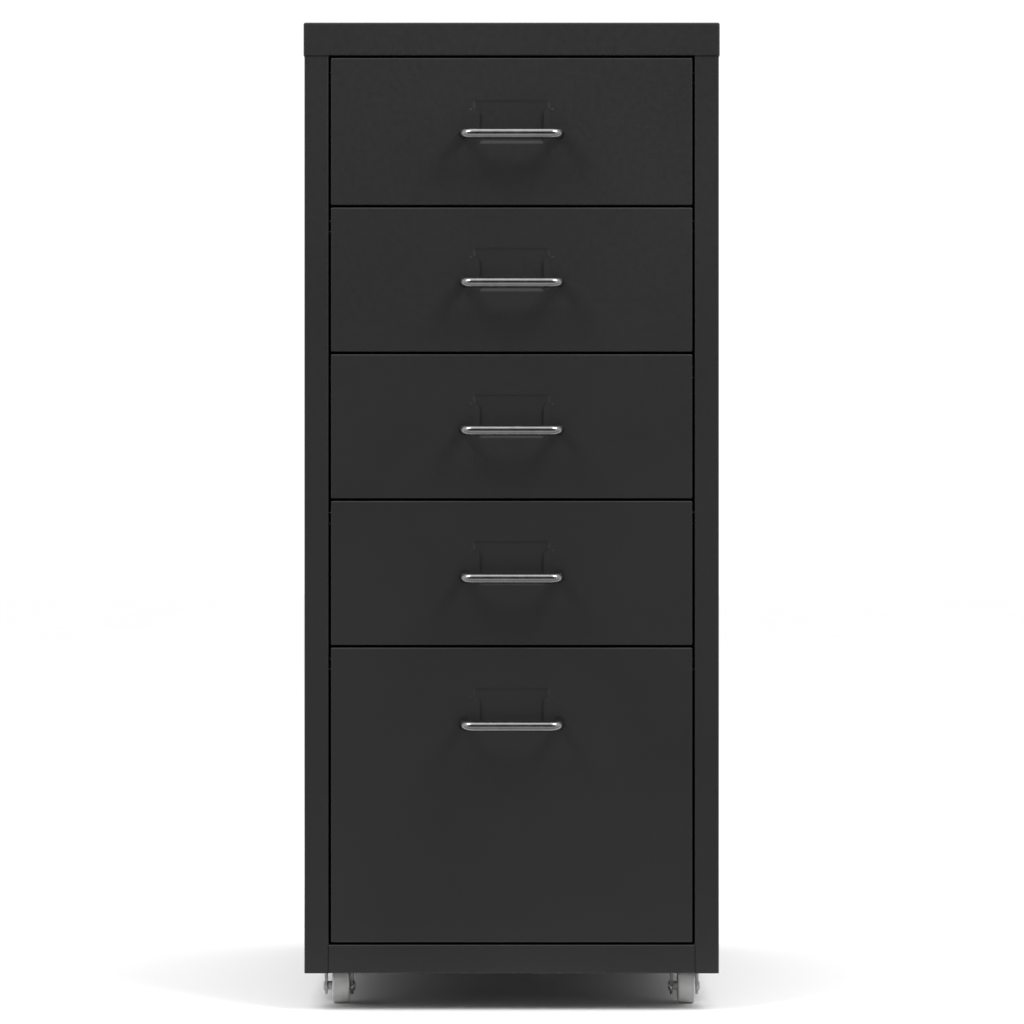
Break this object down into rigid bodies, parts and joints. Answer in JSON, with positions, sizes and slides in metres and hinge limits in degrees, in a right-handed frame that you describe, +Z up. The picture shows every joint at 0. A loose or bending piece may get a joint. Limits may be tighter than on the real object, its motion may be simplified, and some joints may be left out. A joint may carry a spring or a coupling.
{
  "type": "rolling pedestal cabinet",
  "caption": "Tall narrow steel drawer pedestal on swivel casters, with shallow drawers over one deep drawer, wire bow handles and pressed label holders.",
  "frame": {"origin": "on the floor under the middle of the whole object's box, handles included", "axes": "+Z up, X across the width with the cabinet symmetric about X = 0, drawers open towards -Y"},
  "size_m": [0.2872, 0.41, 0.6824],
  "materials": {
    "anthracite_steel": "satin anthracite powder coat",
    "zinc_steel": "bright zinc plate",
    "chromed_wire": "polished chrome plate",
    "grey_wheel": "moulded light grey, matte",
    "black_plastic": "moulded black, matte"
  },
  "bodies": {
    "root": {"side_panel_left": "anthracite_steel", "side_panel_right": "anthracite_steel", "top_panel": "anthracite_steel", "bottom_panel": "anthracite_steel", "back_panel": "anthracite_steel", "base_rail_front": "anthracite_steel", "base_rail_rear": "anthracite_steel", "caster_nuts": "zinc_steel", "panel_screws": "zinc_steel", "runner_left_1": "zinc_steel", "runner_left_2": "zinc_steel", "runner_left_3": "zinc_steel", "runner_left_4": "zinc_steel", "runner_left_5": "zinc_steel", "runner_right_1": "zinc_steel", "runner_right_2": "zinc_steel", "runner_right_3": "zinc_steel", "runner_right_4": "zinc_steel", "runner_right_5": "zinc_steel", "caster_front_left_stem": "zinc_steel", "caster_front_right_stem": "zinc_steel", "caster_rear_left_stem": "zinc_steel", "caster_rear_right_stem": "zinc_steel"},
    "drawer_1": {"drawer_1_tray": "anthracite_steel", "drawer_1_front": "anthracite_steel", "drawer_1_handle": "chromed_wire", "drawer_1_handle_screws": "zinc_steel", "drawer_1_stops": "black_plastic"},
    "drawer_2": {"drawer_2_tray": "anthracite_steel", "drawer_2_front": "anthracite_steel", "drawer_2_handle": "chromed_wire", "drawer_2_handle_screws": "zinc_steel", "drawer_2_stops": "black_plastic"},
    "drawer_3": {"drawer_3_tray": "anthracite_steel", "drawer_3_front": "anthracite_steel", "drawer_3_handle": "chromed_wire", "drawer_3_handle_screws": "zinc_steel", "drawer_3_stops": "black_plastic"},
    "drawer_4": {"drawer_4_tray": "anthracite_steel", "drawer_4_front": "anthracite_steel", "drawer_4_handle": "chromed_wire", "drawer_4_handle_screws": "zinc_steel", "drawer_4_stops": "black_plastic"},
    "drawer_5": {"drawer_5_tray": "anthracite_steel", "drawer_5_front": "anthracite_steel", "drawer_5_handle": "chromed_wire", "drawer_5_handle_screws": "zinc_steel", "drawer_5_stops": "black_plastic"},
    "caster_front_left": {"caster_front_left_fork": "zinc_steel", "caster_front_left_axle": "zinc_steel"},
    "wheel_front_left": {"caster_front_left_wheel": "grey_wheel"},
    "caster_front_right": {"caster_front_right_fork": "zinc_steel", "caster_front_right_axle": "zinc_steel"},
    "wheel_front_right": {"caster_front_right_wheel": "grey_wheel"},
    "caster_rear_left": {"caster_rear_left_fork": "zinc_steel", "caster_rear_left_axle": "zinc_steel"},
    "wheel_rear_left": {"caster_rear_left_wheel": "grey_wheel"},
    "caster_rear_right": {"caster_rear_right_fork": "zinc_steel", "caster_rear_right_axle": "zinc_steel"},
    "wheel_rear_right": {"caster_rear_right_wheel": "grey_wheel"}
  },
  "joints": [
    {"name": "drawer_1_slide", "type": "slide", "parent": "root", "child": "drawer_1", "axis": [0, -1, 0], "range_m": [0, 0.29]},
    {"name": "drawer_2_slide", "type": "slide", "parent": "root", "child": "drawer_2", "axis": [0, -1, 0], "range_m": [0, 0.29]},
    {"name": "drawer_3_slide", "type": "slide", "parent": "root", "child": "drawer_3", "axis": [0, -1, 0], "range_m": [0, 0.29]},
    {"name": "drawer_4_slide", "type": "slide", "parent": "root", "child": "drawer_4", "axis": [0, -1, 0], "range_m": [0, 0.29]},
    {"name": "drawer_5_slide", "type": "slide", "parent": "root", "child": "drawer_5", "axis": [0, -1, 0], "range_m": [0, 0.29]},
    {"name": "caster_front_left_swivel", "type": "hinge", "parent": "root", "child": "caster_front_left", "pos_m": [-0.121, -0.1445, 0.028], "axis": [0, 0, 1], "continuous": true},
    {"name": "wheel_front_left_roll", "type": "hinge", "parent": "caster_front_left", "child": "wheel_front_left", "pos_m": [-0.121, -0.1355, 0.012], "axis": [1, 0, 0], "continuous": true},
    {"name": "caster_front_right_swivel", "type": "hinge", "parent": "root", "child": "caster_front_right", "pos_m": [0.121, -0.1445, 0.028], "axis": [0, 0, 1], "continuous": true},
    {"name": "wheel_front_right_roll", "type": "hinge", "parent": "caster_front_right", "child": "wheel_front_right", "pos_m": [0.121, -0.1355, 0.012], "axis": [1, 0, 0], "continuous": true},
    {"name": "caster_rear_left_swivel", "type": "hinge", "parent": "root", "child": "caster_rear_left", "pos_m": [-0.121, 0.1669, 0.028], "axis": [0, 0, 1], "continuous": true},
    {"name": "wheel_rear_left_roll", "type": "hinge", "parent": "caster_rear_left", "child": "wheel_rear_left", "pos_m": [-0.121, 0.1759, 0.012], "axis": [1, 0, 0], "continuous": true},
    {"name": "caster_rear_right_swivel", "type": "hinge", "parent": "root", "child": "caster_rear_right", "pos_m": [0.121, 0.1669, 0.028], "axis": [0, 0, 1], "continuous": true},
    {"name": "wheel_rear_right_roll", "type": "hinge", "parent": "caster_rear_right", "child": "wheel_rear_right", "pos_m": [0.121, 0.1759, 0.012], "axis": [1, 0, 0], "continuous": true}
  ]
}
